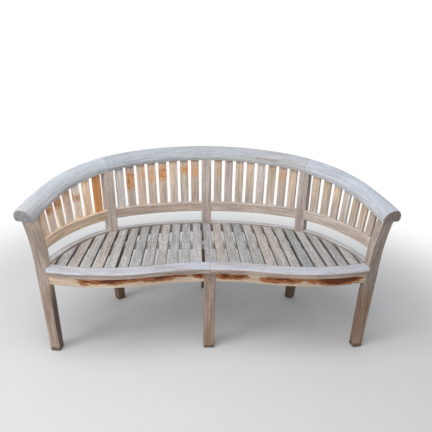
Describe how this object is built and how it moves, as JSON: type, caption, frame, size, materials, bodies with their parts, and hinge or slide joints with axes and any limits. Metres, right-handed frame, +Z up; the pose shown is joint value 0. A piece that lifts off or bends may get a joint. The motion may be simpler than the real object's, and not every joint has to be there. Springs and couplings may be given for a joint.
{
  "type": "curved garden bench",
  "caption": "Curved teak garden bench with arms: a domed top rail sweeps round slatted back panels over a kidney-shaped slatted seat with an S-curved front edge.",
  "frame": {"origin": "centre of the bounding box at floor level", "axes": "+Z up, the bench faces -Y, +X to the right seen from its front"},
  "size_m": [1.6, 0.76, 0.826],
  "materials": {
    "silver_teak": "silver-grey weathered teak, open grain, dry and matt",
    "grey_teak": "light grey weathered teak, dry and matt",
    "stained_teak": "pale weathered teak with orange-brown streaks, matt",
    "warm_teak": "pinkish-beige weathered teak with orange-brown patches, matt",
    "leg_teak": "grey-brown weathered teak, matt",
    "hidden_teak": "darker shaded teak, matt"
  },
  "bodies": {
    "root": {"apron_left": "stained_teak", "apron_right": "stained_teak", "back_slats_centre_left": "warm_teak", "back_slats_centre_right": "warm_teak", "back_slats_left": "warm_teak", "back_slats_right": "warm_teak", "centre_bearer": "hidden_teak", "front_centre_leg": "leg_teak", "left_end_leg": "leg_teak", "lower_back_rail_centre_left": "warm_teak", "lower_back_rail_centre_right": "warm_teak", "lower_back_rail_left": "warm_teak", "lower_back_rail_right": "warm_teak", "mid_batten": "hidden_teak", "nosing_left": "grey_teak", "nosing_right": "grey_teak", "rail_tenons": "hidden_teak", "rear_centre_leg": "leg_teak", "rear_left_leg": "leg_teak", "rear_right_leg": "leg_teak", "rear_seat_rail_centre_left": "leg_teak", "rear_seat_rail_centre_right": "leg_teak", "rear_seat_rail_left": "leg_teak", "rear_seat_rail_right": "leg_teak", "right_end_leg": "leg_teak", "seat_slat_01": "grey_teak", "seat_slat_02": "grey_teak", "seat_slat_03": "grey_teak", "seat_slat_04": "grey_teak", "seat_slat_05": "grey_teak", "seat_slat_06": "grey_teak", "seat_slat_07": "grey_teak", "seat_slat_08": "grey_teak", "seat_slat_09": "grey_teak", "seat_slat_10": "grey_teak", "seat_slat_11": "grey_teak", "seat_slat_12": "grey_teak", "seat_slat_13": "grey_teak", "seat_slat_14": "grey_teak", "seat_slat_15": "grey_teak", "seat_slat_16": "grey_teak", "seat_slat_17": "grey_teak", "seat_slat_18": "grey_teak", "seat_slat_19": "grey_teak", "seat_slat_20": "grey_teak", "seat_slat_21": "grey_teak", "seat_slat_22": "grey_teak", "seat_slat_23": "grey_teak", "seat_slat_24": "grey_teak", "seat_slat_25": "grey_teak", "seat_slat_26": "grey_teak", "seat_slat_27": "grey_teak", "side_bearer_left": "hidden_teak", "side_bearer_right": "hidden_teak", "top_rail_centre": "silver_teak", "top_rail_left": "silver_teak", "top_rail_right": "silver_teak"}
  },
  "joints": []
}
